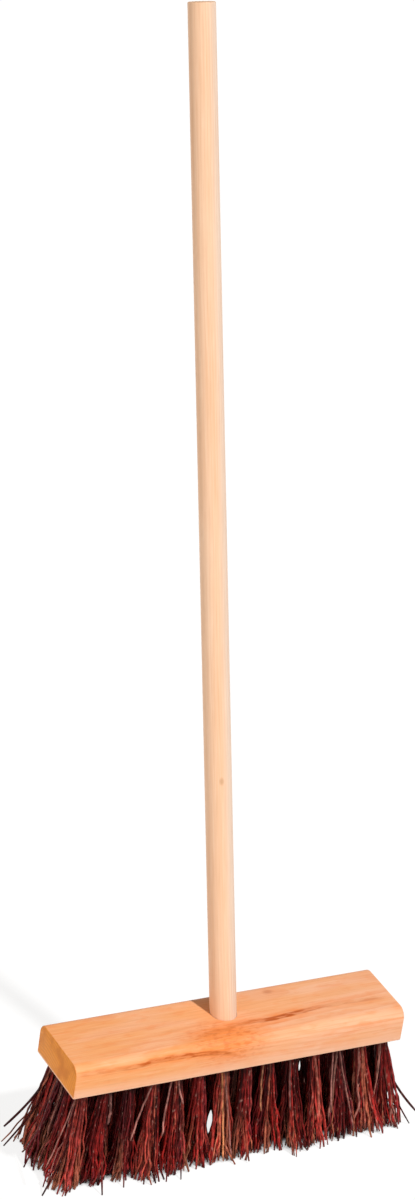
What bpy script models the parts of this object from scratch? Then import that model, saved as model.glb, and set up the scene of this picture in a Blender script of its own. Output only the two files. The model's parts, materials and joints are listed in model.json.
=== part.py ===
"""Childrens broom: a wooden head block, a slanted stick handle and 56 separate bristle tufts.

Frame: metres, +Z up, +X along the head, +Y towards the side that the handle leans to.
Origin: on the floor that the bristle tips stand on, straight under the middle of the head block.
"""

import math
import random

import bmesh
import bpy
from mathutils import Vector
from mathutils.geometry import delaunay_2d_cdt

# Head block
BLOCK_LENGTH = 0.325
BLOCK_WIDTH = 0.075
BLOCK_HEIGHT = 0.032
TOP_EDGE_RADIUS = 0.010
LOWER_EDGE_RADIUS = 0.0015
END_EDGE_RADIUS = 0.0012

# Handle
STICK_DIAMETER = 0.024
STICK_LENGTH = 0.900
STICK_LEAN = math.radians(18.8)
STICK_END_BEVEL = 0.0010

# Tuft holes
ROW_NAMES = ("front", "front_mid", "back_mid", "back")
TUFTS_PER_ROW = 14
END_MARGIN = 0.0145
SIDE_MARGIN = 0.01125
HOLE_DIAMETER = 0.0110
HOLE_DEPTH = 0.0080
WEB_UNDER_SOCKET = 0.0018

# Tufts
BRISTLE_LENGTH = 0.095
ROOT_STAND_OUT = 0.0008
RING_STRANDS = 6
ROOT_RING_RADIUS = 0.0036
WAIST_SHARE = 0.45
WAIST_SPREAD_SHARE = 0.75
ROOT_STRAND_RADIUS = 0.0010
WAIST_STRAND_RADIUS = 0.0017
FOOT_STRAND_RADIUS = 0.0016
STRAND_WANDER = 0.0008
TIP_UNEVENNESS = 0.0050
SHORT_TIP_SHARE = 0.45
LEFT_END_LEAN = math.radians(-8.0)
RIGHT_END_LEAN = math.radians(14.5)
MIDDLE_LEAN = math.radians(3.0)
SIDE_ROW_LEAN = math.radians(6.0)
END_LEAN_POWER = 2.5

# Fits and facets
SEAT_GAP = 0.0003
STICK_SIDES = 32
HOLE_SIDES = 8
ARC_STEPS = 8
EASE_STEPS = 2
SEED = 304

# Places that follow from the sizes
UNDERSIDE_Z = BRISTLE_LENGTH
TOP_Z = UNDERSIDE_Z + BLOCK_HEIGHT
MIDDLE_Z = UNDERSIDE_Z + BLOCK_HEIGHT / 2
STICK_RADIUS = STICK_DIAMETER / 2
SOCKET_FLOOR_Z = UNDERSIDE_Z + HOLE_DEPTH + WEB_UNDER_SOCKET
SOCKET_RADIUS = STICK_RADIUS + SEAT_GAP
TUFT_PITCH = (BLOCK_LENGTH - 2 * END_MARGIN) / (TUFTS_PER_ROW - 1)
ROW_PITCH = (BLOCK_WIDTH - 2 * SIDE_MARGIN) / (len(ROW_NAMES) - 1)
SIDE_ROW_SHIFT = BRISTLE_LENGTH * math.tan(SIDE_ROW_LEAN)


def clear_scene():
    for old in list(bpy.data.objects):
        bpy.data.objects.remove(old, do_unlink=True)


def principled(name, colour, roughness):
    """One plain material with the finish of a piece."""
    material = bpy.data.materials.new(name)
    material.use_nodes = True
    shader = material.node_tree.nodes["Principled BSDF"]
    shader.inputs["Base Color"].default_value = (*colour, 1.0)
    shader.inputs["Roughness"].default_value = roughness
    shader.inputs["Metallic"].default_value = 0.0
    material.diffuse_color = (*colour, 1.0)
    return material


def add_object(name, mesh_data, material, parent):
    piece = bpy.data.objects.new(name, mesh_data)
    bpy.context.scene.collection.objects.link(piece)
    if material:
        mesh_data.materials.append(material)
    piece.parent = parent
    return piece


def mesh_from(bm, name):
    """Turn a bmesh into mesh data with its faces pointing out."""
    bmesh.ops.recalc_face_normals(bm, faces=bm.faces[:])
    data = bpy.data.meshes.new(name)
    bm.to_mesh(data)
    bm.free()
    return data


def arc(centre_y, centre_z, radius, start_deg, end_deg, steps):
    """Points of an arc in the YZ plane."""
    points = []
    for i in range(steps + 1):
        angle = math.radians(start_deg + (end_deg - start_deg) * i / steps)
        points.append((centre_y + radius * math.cos(angle), centre_z + radius * math.sin(angle)))
    return points


def block_outline():
    """The head's cross-section: two round top edges and two eased lower edges."""
    half = BLOCK_WIDTH / 2
    low = LOWER_EDGE_RADIUS
    # A thin or narrow block limits the round edge to what its wall can hold
    top = min(TOP_EDGE_RADIUS, BLOCK_HEIGHT - 2 * low, half - low)
    outline = arc(half - top, TOP_Z - top, top, 0, 90, ARC_STEPS)
    outline += arc(-half + top, TOP_Z - top, top, 90, 180, ARC_STEPS)
    outline += arc(-half + low, UNDERSIDE_Z + low, low, 180, 270, EASE_STEPS)
    outline += arc(half - low, UNDERSIDE_Z + low, low, 270, 360, EASE_STEPS)
    return outline


def polygon(sides, radius):
    """Corners of a regular polygon in the XY plane."""
    angles = [math.tau * i / sides for i in range(sides)]
    return [Vector((radius * math.cos(angle), radius * math.sin(angle))) for angle in angles]


def prism(sides, radius, low, high):
    """A closed upright prism that stands for a round bar or hole."""
    bm = bmesh.new()
    face = bm.faces.new([bm.verts.new((p.x, p.y, low)) for p in polygon(sides, radius)])
    grown = bmesh.ops.extrude_face_region(bm, geom=[face])
    moved = [v for v in grown["geom"] if isinstance(v, bmesh.types.BMVert)]
    bmesh.ops.translate(bm, verts=moved, vec=(0, 0, high - low))
    return bm


def add_cutter(name, mesh_data, target, parent):
    """A shape that is cut out of the target and left out of the part."""
    cutter = add_object(name, mesh_data, None, parent)
    cutter.hide_render = True
    cutter.display_type = "WIRE"
    cut = target.modifiers.new(name, "BOOLEAN")
    cut.operation = "DIFFERENCE"
    cut.solver = "EXACT"
    cut.object = cutter
    return cutter


def stick_seat():
    """The middle of the stick's lower end, on the axis through the middle of the block."""
    rise = SOCKET_FLOOR_Z + SOCKET_RADIUS * math.sin(STICK_LEAN) + SEAT_GAP * math.cos(STICK_LEAN) - MIDDLE_Z
    return Vector((0.0, rise * math.tan(STICK_LEAN), MIDDLE_Z + rise))


def hole_centres():
    """Name and place of each tuft hole, row by row."""
    places = []
    for row, row_name in enumerate(ROW_NAMES):
        y = (row - (len(ROW_NAMES) - 1) / 2) * ROW_PITCH
        for i in range(TUFTS_PER_ROW):
            x = (i - (TUFTS_PER_ROW - 1) / 2) * TUFT_PITCH
            places.append((f"tuft_{row_name}_{i + 1:02d}", x, y))
    return places


def lean_shift(x, y):
    """How far a tuft's foot stands from under its root: the ends and the outer rows spread out."""
    along = x / (BLOCK_LENGTH / 2 - END_MARGIN)
    across = y / (BLOCK_WIDTH / 2 - SIDE_MARGIN)
    end_lean = RIGHT_END_LEAN if along > 0 else LEFT_END_LEAN
    lean = MIDDLE_LEAN + (end_lean - MIDDLE_LEAN) * abs(along) ** END_LEAN_POWER
    return BRISTLE_LENGTH * math.tan(lean), SIDE_ROW_SHIFT * across


def reach(share_down, strand_radius):
    """How far from its tuft's middle a strand can stand, along and across, clear of the next tuft."""
    row_spread = 2 * SIDE_ROW_SHIFT / (len(ROW_NAMES) - 1)
    clear = strand_radius + STRAND_WANDER + SEAT_GAP
    return TUFT_PITCH / 2 - clear, (ROW_PITCH + row_spread * share_down) / 2 - clear


def make_block(wood, parent):
    outline = block_outline()
    bm = bmesh.new()
    face = bm.faces.new([bm.verts.new((-BLOCK_LENGTH / 2, y, z)) for y, z in outline])
    grown = bmesh.ops.extrude_face_region(bm, geom=[face])
    moved = [v for v in grown["geom"] if isinstance(v, bmesh.types.BMVert)]
    bmesh.ops.translate(bm, verts=moved, vec=(BLOCK_LENGTH, 0, 0))
    block = add_object("head_block", mesh_from(bm, "head_block"), wood, parent)
    ease = block.modifiers.new("end_edges", "BEVEL")
    ease.width = END_EDGE_RADIUS
    ease.segments = EASE_STEPS
    ease.limit_method = "ANGLE"
    ease.angle_limit = math.radians(60)

    socket = prism(STICK_SIDES, SOCKET_RADIUS, -SEAT_GAP, 2 * BLOCK_HEIGHT + STICK_DIAMETER)
    cutter = add_cutter("socket_cutter", mesh_from(socket, "socket_cutter"), block, parent)
    cutter.location = stick_seat()
    cutter.rotation_euler.x = -STICK_LEAN

    holes = bmesh.new()
    for _, x, y in hole_centres():
        one = prism(HOLE_SIDES, HOLE_DIAMETER / 2, UNDERSIDE_Z - HOLE_DEPTH, UNDERSIDE_Z + HOLE_DEPTH)
        bmesh.ops.translate(one, verts=one.verts[:], vec=(x, y, 0))
        piece = mesh_from(one, "hole")
        holes.from_mesh(piece)
        bpy.data.meshes.remove(piece)
    add_cutter("tuft_hole_cutter", mesh_from(holes, "tuft_hole_cutter"), block, parent)
    return block


def make_handle(wood, parent):
    bm = prism(STICK_SIDES, STICK_RADIUS, 0.0, STICK_LENGTH)
    rims = [e for e in bm.edges if abs(e.verts[0].co.z - e.verts[1].co.z) < STICK_END_BEVEL]
    bmesh.ops.bevel(bm, geom=rims, offset=STICK_END_BEVEL, segments=1, affect="EDGES")
    data = mesh_from(bm, "handle")
    data.shade_smooth()
    data.set_sharp_from_angle(angle=math.radians(35))
    handle = add_object("handle", data, wood, parent)
    handle.location = stick_seat()
    handle.rotation_euler.x = -STICK_LEAN
    return handle


def triangle_ring(centre, radius, turn):
    """Three corners of a strand's section, one of them pointing along turn."""
    middle = Vector(centre)
    angles = [turn + math.tau * k / 3 for k in range(3)]
    return [middle + radius * Vector((math.cos(angle), math.sin(angle))) for angle in angles]


def strand_plan(rng, shift):
    """Middle of each strand at the root, the waist and the foot, its lift, and the way its section points."""
    waist_reach = [WAIST_SPREAD_SHARE * way for way in reach(WAIST_SHARE, WAIST_STRAND_RADIUS)]
    foot_reach = reach(1.0, FOOT_STRAND_RADIUS)
    first = rng.uniform(0, math.tau / RING_STRANDS)
    strands = [(0.0, 0.0, rng.uniform(0, math.tau))]
    for i in range(RING_STRANDS):
        angle = first + math.tau * i / RING_STRANDS
        strands.append((math.cos(angle), math.sin(angle), angle + math.pi))
    plan = []
    for ux, uy, turn in strands:
        sway = [rng.uniform(-1.0, 1.0) * STRAND_WANDER for _ in range(4)]
        waist = (
            ux * waist_reach[0] + shift[0] * WAIST_SHARE + sway[0] / 2,
            uy * waist_reach[1] + shift[1] * WAIST_SHARE + sway[1] / 2,
        )
        foot = (
            ux * foot_reach[0] + shift[0] + sway[2],
            uy * foot_reach[1] + shift[1] + sway[3],
        )
        # Most strands are cut at the floor, and the rest end a little above it
        lift = max(0.0, rng.uniform(SHORT_TIP_SHARE - 1, SHORT_TIP_SHARE)) / SHORT_TIP_SHARE * TIP_UNEVENNESS
        plan.append(((ux * ROOT_RING_RADIUS, uy * ROOT_RING_RADIUS), waist, foot, lift, turn))
    return plan


def tuft_bmesh(plan):
    """One closed body: the folded root that fills the hole, with the strands grown out of its lower face."""
    bm = bmesh.new()
    plug_radius = HOLE_DIAMETER / 2 - SEAT_GAP / math.cos(math.pi / HOLE_SIDES)
    root_z = -ROOT_STAND_OUT
    cap_z = HOLE_DEPTH - SEAT_GAP
    rim = polygon(HOLE_SIDES, plug_radius)
    points = list(rim)
    loops = [list(range(HOLE_SIDES))]
    for root, _, _, _, turn in plan:
        first = len(points)
        points += triangle_ring(root, ROOT_STRAND_RADIUS, turn)
        loops.append([first, first + 1, first + 2])
    flat, _, faces, _, _, origins = delaunay_2d_cdt(points, [], loops, 1, 1e-9)
    low = [bm.verts.new((p.x, p.y, root_z)) for p in flat]
    for face, source in zip(faces, origins):
        if source == [0]:
            bm.faces.new([low[i] for i in face])
    high = [bm.verts.new((p.x, p.y, cap_z)) for p in rim]
    bm.faces.new(high)
    for i in range(HOLE_SIDES):
        j = (i + 1) % HOLE_SIDES
        bm.faces.new((low[i], low[j], high[j], high[i]))

    waist_z = -BRISTLE_LENGTH * WAIST_SHARE
    for (_, waist, foot, lift, turn), loop in zip(plan, loops[1:]):
        share = lift / (BRISTLE_LENGTH * (1 - WAIST_SHARE))
        tip = [f + (w - f) * share for f, w in zip(foot, waist)]
        upper = [low[i] for i in loop]
        sections = (
            (waist, WAIST_STRAND_RADIUS, waist_z),
            (tip, FOOT_STRAND_RADIUS, -BRISTLE_LENGTH + lift),
        )
        for centre, radius, z in sections:
            lower = [bm.verts.new((p.x, p.y, z)) for p in triangle_ring(centre, radius, turn)]
            for k in range(3):
                m = (k + 1) % 3
                bm.faces.new((upper[k], upper[m], lower[m], lower[k]))
            upper = lower
        bm.faces.new(upper)
    bmesh.ops.triangulate(bm, faces=bm.faces[:])
    return bm


def make_tufts(fibre, parent):
    rng = random.Random(SEED)
    tufts = []
    for name, x, y in hole_centres():
        plan = strand_plan(rng, lean_shift(x, y))
        tuft = add_object(name, mesh_from(tuft_bmesh(plan), name), fibre, parent)
        tuft.location = (x, y, UNDERSIDE_Z)
        tufts.append(tuft)
    return tufts


def main():
    clear_scene()
    block_wood = principled("block_wood", (0.90, 0.41, 0.18), 0.55)
    stick_wood = principled("stick_wood", (0.90, 0.55, 0.34), 0.50)
    fibre = principled("bristle_fibre", (0.14, 0.018, 0.014), 0.50)
    broom = bpy.data.objects.new("broom", None)
    bpy.context.scene.collection.objects.link(broom)
    make_block(block_wood, broom)
    make_handle(stick_wood, broom)
    tufts = make_tufts(fibre, broom)
    seat = stick_seat()
    print("tufts", len(tufts), "strands", len(tufts) * (RING_STRANDS + 1))
    print("stick seat", [round(v, 5) for v in seat])


main()
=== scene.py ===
# %% [markdown]
# # A childrens broom, finished in wood and stiff fibre
# The broom has three kinds of piece: a sanded wooden head, a plain round stick and 56 tufts of red-brown
# fibre. Their sizes and places come from a frame of plain solids, one solid for each piece. This lesson
# models a finer piece over each solid, gives it a finish made only of nodes, and lights it in a plain pale
# studio.
#
# Lengths are in metres. X runs along the head, Z is up, the floor is at zero, and the stick leans towards
# +Y.

import json
import math

import bmesh
import bpy
import numpy as np
from mathutils import Matrix, Vector


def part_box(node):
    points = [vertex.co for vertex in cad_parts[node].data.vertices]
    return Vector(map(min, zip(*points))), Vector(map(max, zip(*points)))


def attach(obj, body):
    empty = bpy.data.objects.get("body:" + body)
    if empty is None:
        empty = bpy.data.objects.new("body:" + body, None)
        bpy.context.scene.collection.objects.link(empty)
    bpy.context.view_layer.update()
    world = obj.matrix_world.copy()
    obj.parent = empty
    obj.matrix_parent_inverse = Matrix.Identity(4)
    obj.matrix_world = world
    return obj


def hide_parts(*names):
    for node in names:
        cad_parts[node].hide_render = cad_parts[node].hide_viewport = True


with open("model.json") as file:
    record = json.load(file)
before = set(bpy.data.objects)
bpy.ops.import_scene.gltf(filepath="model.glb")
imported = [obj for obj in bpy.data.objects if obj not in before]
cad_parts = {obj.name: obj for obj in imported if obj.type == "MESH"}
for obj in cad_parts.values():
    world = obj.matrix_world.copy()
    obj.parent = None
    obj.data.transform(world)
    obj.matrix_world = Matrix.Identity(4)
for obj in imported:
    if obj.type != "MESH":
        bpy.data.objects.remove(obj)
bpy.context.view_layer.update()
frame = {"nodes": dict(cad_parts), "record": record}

# %% [markdown]
# ## Read the sizes
# A size that is copied by hand can go wrong. So the head's corners are measured on its solid, and the
# stick's top and lean are read from the record that travels with the frame. Only what neither can tell is
# written down here.

# %% Measure the head and the stick
MM = 0.001


def in_mm(lengths, digits=1):
    return [round(float(length) / MM, digits) for length in lengths]


HEAD_LOW, HEAD_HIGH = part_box("head_block")
HEAD_SIZE = HEAD_HIGH - HEAD_LOW
HEAD_MIDDLE = (HEAD_LOW + HEAD_HIGH) / 2
UNDERSIDE = HEAD_LOW.z
STICK_RADIUS = 12 * MM
STICK_LENGTH = 900 * MM
stick_mount = next(mount for mount in frame["record"]["mounts"] if mount["name"] == "handle_top")
STICK_AXIS = Vector(stick_mount["axis"]).normalized()
STICK_FOOT = Vector(stick_mount["pos_m"]) - STICK_AXIS * STICK_LENGTH
STICK_LEAN = math.atan2(STICK_AXIS.y, STICK_AXIS.z)
TUFT_NAMES = sorted(name for name in frame["nodes"] if name.startswith("tuft_"))
print("head:", in_mm(HEAD_SIZE), "mm, tufts:", len(TUFT_NAMES))
print("stick foot:", in_mm(STICK_FOOT, 2), "mm, lean:", round(math.degrees(STICK_LEAN), 2), "degrees")

# %% [markdown]
# ## The camera
# The picture was taken from above and a little to the left, with a long lens and a slight roll. A camera
# could be aimed with a constraint, but a roll is then hard to add. Its matrix is simply its right, up and
# back directions side by side, so three angles and a place are all that it needs.

# %% Place the camera
CAMERA_PLACE = Vector((-1.51709, -2.43098, 2.02773))
CAMERA_AZIMUTH = math.radians(-30.58)
CAMERA_HEIGHT_ANGLE = math.radians(27.56)
CAMERA_ROLL = math.radians(8.38)
PICTURE_HEIGHT = 1200
FOCAL_LENGTH_PIXELS = 3886.58
SENSOR = 36.0

level_right = Vector((math.cos(CAMERA_AZIMUTH), math.sin(CAMERA_AZIMUTH), 0.0))
back = Vector((
    math.sin(CAMERA_AZIMUTH) * math.cos(CAMERA_HEIGHT_ANGLE),
    -math.cos(CAMERA_AZIMUTH) * math.cos(CAMERA_HEIGHT_ANGLE),
    math.sin(CAMERA_HEIGHT_ANGLE),
))
level_up = back.cross(level_right)
right = level_right * math.cos(CAMERA_ROLL) + level_up * math.sin(CAMERA_ROLL)
up = level_up * math.cos(CAMERA_ROLL) - level_right * math.sin(CAMERA_ROLL)

bpy.ops.object.camera_add()
camera = bpy.context.object
camera.name = "picture_camera"
camera.data.sensor_width = SENSOR
camera.data.lens = FOCAL_LENGTH_PIXELS * SENSOR / PICTURE_HEIGHT
camera.matrix_world = Matrix.Translation(CAMERA_PLACE) @ Matrix((right, up, back)).transposed().to_4x4()
bpy.context.scene.camera = camera
print("lens:", round(camera.data.lens, 2), "mm")

# %% [markdown]
# ## Shorthands for nodes
# A finish can be wired by hand in the node editor, or in code. In plain code every node takes many lines,
# so each of these helpers adds one node, and a finish then reads like the sum that it is.

# %% Helpers that add one node each
def add_node(tree, kind, sockets=None, **settings):
    """Add a node, set what it is told, and wire or fill its sockets."""
    node = tree.nodes.new(kind)
    for name, value in settings.items():
        setattr(node, name, value)
    for name, value in (sockets or {}).items():
        if isinstance(value, bpy.types.NodeSocket):
            tree.links.new(value, node.inputs[name])
        else:
            node.inputs[name].default_value = value
    return node


def calc(tree, operation, first, second=0.0, third=0.0):
    """One step of arithmetic."""
    return add_node(tree, "ShaderNodeMath", {0: first, 1: second, 2: third}, operation=operation).outputs[0]


def times(tree, first, second):
    return calc(tree, "MULTIPLY", first, second)


def vector_calc(tree, operation, first, second=(0.0, 0.0, 0.0)):
    """One step of arithmetic on places, directions or colours."""
    return add_node(tree, "ShaderNodeVectorMath", {0: first, 1: second}, operation=operation).outputs


def split(tree, place):
    """The three numbers of a place."""
    return add_node(tree, "ShaderNodeSeparateXYZ", {0: place}).outputs


def colour(red, green, blue):
    return (red, green, blue, 1.0)


def new_finish(name):
    """A material with one Principled shader, and the place of each point in the object's own coordinates."""
    material = bpy.data.materials.new(name)
    material.use_nodes = True
    tree = material.node_tree
    place = add_node(tree, "ShaderNodeTexCoord").outputs["Object"]
    return material, tree, tree.nodes["Principled BSDF"], place


print("one colour is written as", colour(0.9, 0.4, 0.2))

# %% [markdown]
# ### Patterns
# Every finish below is put together from a handful of patterns: a soft step from one value to another, a
# mix of two colours, cloudy noise, and the distance from a point. Noise takes a stretch for each direction,
# because wood and fibre are drawn out along their grain. Patches are noise with its contrast raised. Each
# finish lists its patches and fades next to its colours: two numbers are the start and the end of a fade,
# and two more are its low and high.

# %% Helpers that make patterns
def fade(tree, value, start, end, low=0.0, high=1.0, step="SMOOTHSTEP"):
    """Go from low to high while the value goes from start to end."""
    sockets = {"Value": value, "From Min": start, "From Max": end, "To Min": low, "To Max": high}
    return add_node(tree, "ShaderNodeMapRange", sockets, interpolation_type=step).outputs["Result"]


def near(tree, value, centre, reach, flat=0.0):
    """One at the centre and over a flat share of the reach, then softly down to zero at the reach."""
    return fade(tree, calc(tree, "ABSOLUTE", calc(tree, "SUBTRACT", value, centre)), reach, reach * flat)


def blend(tree, share, first, second):
    """Mix two colours."""
    return add_node(tree, "ShaderNodeMix", {0: share, 6: first, 7: second}, data_type="RGBA").outputs[2]


def noise(tree, place, stretch, detail=2.0):
    """Cloudy noise from 0 to 1, with a number of clouds per metre for each direction."""
    scaled = vector_calc(tree, "MULTIPLY", place, stretch)[0]
    sockets = {"Vector": scaled, "Scale": 1.0, "Detail": detail}
    return add_node(tree, "ShaderNodeTexNoise", sockets).outputs[0]


def patches(tree, place, stretch, start, end, low=0.0, high=1.0, detail=2.0):
    """Go from low to high where the noise goes from start to end."""
    return fade(tree, noise(tree, place, stretch, detail), start, end, low, high)


def distance(tree, place, point, squeeze=(1, 1, 1)):
    """How far a place is from a point. A squeeze below one draws the circle of equal distance out."""
    offset = vector_calc(tree, "SUBTRACT", place, point)[0]
    squeezed = vector_calc(tree, "MULTIPLY", offset, squeeze)[0]
    return vector_calc(tree, "LENGTH", squeezed)["Value"]


print("patterns:", ", ".join(helper.__name__ for helper in (fade, near, blend, noise, patches, distance)))

# %% [markdown]
# ## The sky
# A cut-out picture has a white ground. The sky could be made bright, but then it would wash out the broom.
# So it is white only for rays from the camera, from glossy surfaces and through glass, and gives a low,
# soft and warm light to all the rest, like the walls of a room.

# %% Make the sky
SKY_LIGHT = 0.19
WHITE = colour(1.0, 1.0, 1.0)
WARM_WHITE = colour(1.0, 0.82, 0.62)


def seen_directly(tree):
    """One for rays from the camera, from glossy surfaces and through glass, and zero for all other rays."""
    rays = add_node(tree, "ShaderNodeLightPath").outputs
    camera_or_gloss = calc(tree, "MAXIMUM", rays["Is Camera Ray"], rays["Is Glossy Ray"])
    return calc(tree, "MAXIMUM", camera_or_gloss, rays["Is Transmission Ray"])


world = bpy.data.worlds.new("studio_sky")
bpy.context.scene.world = world
world.use_nodes = True
sky_tree = world.node_tree
sky = sky_tree.nodes["Background"]
direct = seen_directly(sky_tree)
sky_tree.links.new(blend(sky_tree, direct, WARM_WHITE, WHITE), sky.inputs["Color"])
sky_tree.links.new(fade(sky_tree, direct, 0.0, 1.0, SKY_LIGHT, 1.0), sky.inputs["Strength"])
bpy.context.scene.view_settings.view_transform = "Standard"
print("sky light:", SKY_LIGHT)

# %% [markdown]
# ## The floor
# The floor has to look white as well. Light alone could make it so, but that light would also reach the
# broom. So the floor has a glow, for the same rays as the sky, and it keeps the broom's shadow. Under the
# head and close by the fibres hardly any light arrives, so there the glow fades away: without that, white
# would shine through between the fibres' tips. One patch keeps its glow, as it is seen through a slit
# between the tufts.

# %% Make the pale floor
FLOOR_SIZE = 60.0
FLOOR_SHADE = 0.80
FLOOR_GLOW = 0.86
FLOOR_SEEN_SHADE = 0.18
CONTACT_REACH = 15 * MM
CONTACT_SAMPLES = 8
CONTACT_FADE = (0.10, 0.48)
SHELTER_FADE = 12 * MM
SLIT_FLOOR = Vector((12 * MM, 18 * MM, 0))
SLIT_FADE = (23 * MM, 18 * MM)


def sheltered(tree, place):
    """One on the floor under the head, where the fibres stand, and zero outside."""
    along, across = (
        fade(tree, calc(tree, "ABSOLUTE", value), size / 2, size / 2 - SHELTER_FADE)
        for value, size in zip(split(tree, place)[:2], HEAD_SIZE[:2])
    )
    return times(tree, along, across)


def mix_floor():
    material, tree, shader, place = new_finish("floor_white")
    tree.nodes.remove(shader)
    matt, seen_matt = (
        add_node(tree, "ShaderNodeBsdfDiffuse", {"Color": colour(shade, shade, shade)}).outputs[0]
        for shade in (FLOOR_SHADE, FLOOR_SEEN_SHADE)
    )
    reach = {"Distance": CONTACT_REACH}
    contact = add_node(tree, "ShaderNodeAmbientOcclusion", reach, samples=CONTACT_SAMPLES)
    behind_slit = fade(tree, distance(tree, place, SLIT_FLOOR), *SLIT_FADE)
    away_from_tips = fade(tree, contact.outputs["AO"], *CONTACT_FADE)
    open_floor = calc(tree, "SUBTRACT", away_from_tips, sheltered(tree, place))
    glow_level = times(tree, calc(tree, "MAXIMUM", open_floor, behind_slit), FLOOR_GLOW)
    glow = add_node(tree, "ShaderNodeEmission", {"Color": WHITE, "Strength": glow_level}).outputs[0]
    lifted = add_node(tree, "ShaderNodeAddShader", {0: seen_matt, 1: glow}).outputs[0]
    surface = add_node(tree, "ShaderNodeMixShader", {0: seen_directly(tree), 1: matt, 2: lifted}).outputs[0]
    tree.links.new(surface, tree.nodes["Material Output"].inputs["Surface"])
    return material


bpy.ops.mesh.primitive_plane_add(size=FLOOR_SIZE)
floor = bpy.context.object
floor.name = "studio_floor"
floor.data.materials.append(mix_floor())
print("floor:", FLOOR_SIZE, "m across")

# %% [markdown]
# ## The lights
# The stick throws a short dark shadow over the head, back and to the left. A lamp close by would make that
# shadow spread, so the key light is a soft sun from the front right. The head's left end would then be
# black, and a broad lamp on that side keeps it readable.

# %% Hang the lights
KEY_FROM = Vector((0.526, -1.20, 2.0))
KEY_STRENGTH = 2.76
KEY_SOFTNESS = math.radians(4.0)
FILL_FROM = Vector((-2.15, -1.10, 0.58))
FILL_SIZE = 1.6
FILL_POWER = 21.5


def hang(kind, name, place, target, **settings):
    """Add a lamp at a place, turn it to face a target, and set what it is told."""
    bpy.ops.object.light_add(type=kind)
    lamp = bpy.context.object
    lamp.name = name
    lamp.location = place
    lamp.rotation_euler = (place - target).to_track_quat("Z", "Y").to_euler()
    for setting, value in settings.items():
        setattr(lamp.data, setting, value)
    print(name, "at", [round(v, 2) for v in lamp.location])


hang("SUN", "key_light", KEY_FROM, Vector((0, 0, 0)), energy=KEY_STRENGTH, angle=KEY_SOFTNESS)
hang("AREA", "fill_light", FILL_FROM, HEAD_MIDDLE, energy=FILL_POWER, size=FILL_SIZE)

# %% [markdown]
# ## Selecting, in code
# Operators act on whatever is selected, as they do under a mouse. So each step starts with nothing
# selected, and edges or faces are then picked by where they lie or where they face. Easing picked edges
# with a bevel comes up four times, so it has a helper too.

# %% Helpers for selecting and easing
def only(piece):
    """Leave edit mode, and make one piece the only selected and active one."""
    if bpy.context.object and bpy.context.object.mode != "OBJECT":
        bpy.ops.object.mode_set(mode="OBJECT")
    bpy.ops.object.select_all(action="DESELECT")
    if piece:
        piece.select_set(True)
        bpy.context.view_layer.objects.active = piece


def pick(kind, wanted):
    """In edit mode, select just the edges or the faces that pass a test, and count them."""
    bpy.ops.mesh.select_mode(type=kind)
    bpy.ops.mesh.select_all(action="DESELECT")
    mesh = bmesh.from_edit_mesh(bpy.context.object.data)
    mesh.normal_update()
    picked = [item for item in (mesh.edges if kind == "EDGE" else mesh.faces) if wanted(item)]
    for item in picked:
        item.select_set(True)
    bmesh.update_edit_mesh(bpy.context.object.data)
    return len(picked)


def ease_edges(label, wanted, size, segments):
    """Bevel the edges whose two ends pass a test."""
    print(label, pick("EDGE", lambda edge: wanted(edge.verts[0].co, edge.verts[1].co)))
    bpy.ops.mesh.bevel(offset=size, segments=segments, affect="EDGES")


only(None)
print("selected now:", len(bpy.context.selected_objects))

# %% [markdown]
# ## Finishing a piece
# Each piece ends in the same few steps. Its place goes into its mesh, so that its object sits at the origin
# and a pattern on its own coordinates stays where it is. Then it is tied to the solid that it stands for.

# %% Helpers for finishing
def place_in_mesh(piece):
    """Move a piece's place, turn and scale into its mesh, so that its object sits at the origin."""
    only(piece)
    bpy.ops.object.transform_apply(location=True, rotation=True, scale=True)


def cut_out(piece, cutter):
    """Take the cutter's shape out of a piece, then throw the cutter away."""
    only(piece)
    cut = piece.modifiers.new("cut", "BOOLEAN")
    cut.operation = "DIFFERENCE"
    cut.solver = "EXACT"
    cut.object = cutter
    bpy.ops.object.modifier_apply(modifier=cut.name)
    bpy.data.objects.remove(cutter)


def shade_round(piece, sharpest):
    """Shade smooth, and keep edges that turn more than the sharpest angle crisp."""
    only(piece)
    bpy.ops.object.shade_smooth_by_angle(angle=sharpest)


def join_frame(piece, solid, finish):
    """Tie a finished piece to the frame: what carries it, which solid it stands for, and its finish."""
    piece.data.materials.clear()
    piece.data.materials.append(finish)
    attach(piece, "root")
    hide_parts(solid)


# %% [markdown]
# ## The head
# The real head is a planed batten. A router has run along its two long top edges, and sandpaper has eased
# the rest. It could be a profile that is extruded, but a cube with three bevels follows the workshop's own
# order: round the top edges, ease the lower ones, then break the rim of both end faces.

# %% Shape the head
TOP_EDGE = 10 * MM
LOWER_EDGE = 1.5 * MM
END_EDGE = 1.2 * MM
only(None)
bpy.ops.mesh.primitive_cube_add(size=1.0, location=HEAD_MIDDLE)
head = bpy.context.object
head.name = "broom_head"
head.scale = HEAD_SIZE
place_in_mesh(head)
bpy.ops.object.mode_set(mode="EDIT")


def runs_along(a, b):
    return abs(a.x - b.x) > HEAD_SIZE.x / 2


def at_top(a, b):
    return runs_along(a, b) and a.z > HEAD_MIDDLE.z


def at_bottom(a, b):
    return runs_along(a, b) and max(a.z, b.z) < UNDERSIDE + MM


def round_an_end(a, b):
    return abs(a.x) > HEAD_HIGH.x - MM and abs(a.x - b.x) < MM


ease_edges("top edges:", at_top, TOP_EDGE, segments=12)
ease_edges("lower edges:", at_bottom, LOWER_EDGE, segments=3)
ease_edges("end rims:", round_an_end, END_EDGE, segments=3)
bpy.ops.object.mode_set(mode="OBJECT")

# %% [markdown]
# ### The slanted socket
# The stick goes into a blind hole that is drilled along its own slant. The thin dark line round a real
# joint could be painted on, but it is easier to leave a true gap: a cylinder that is a hair wider than the
# stick is laid along the stick's axis and cut out.

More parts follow.
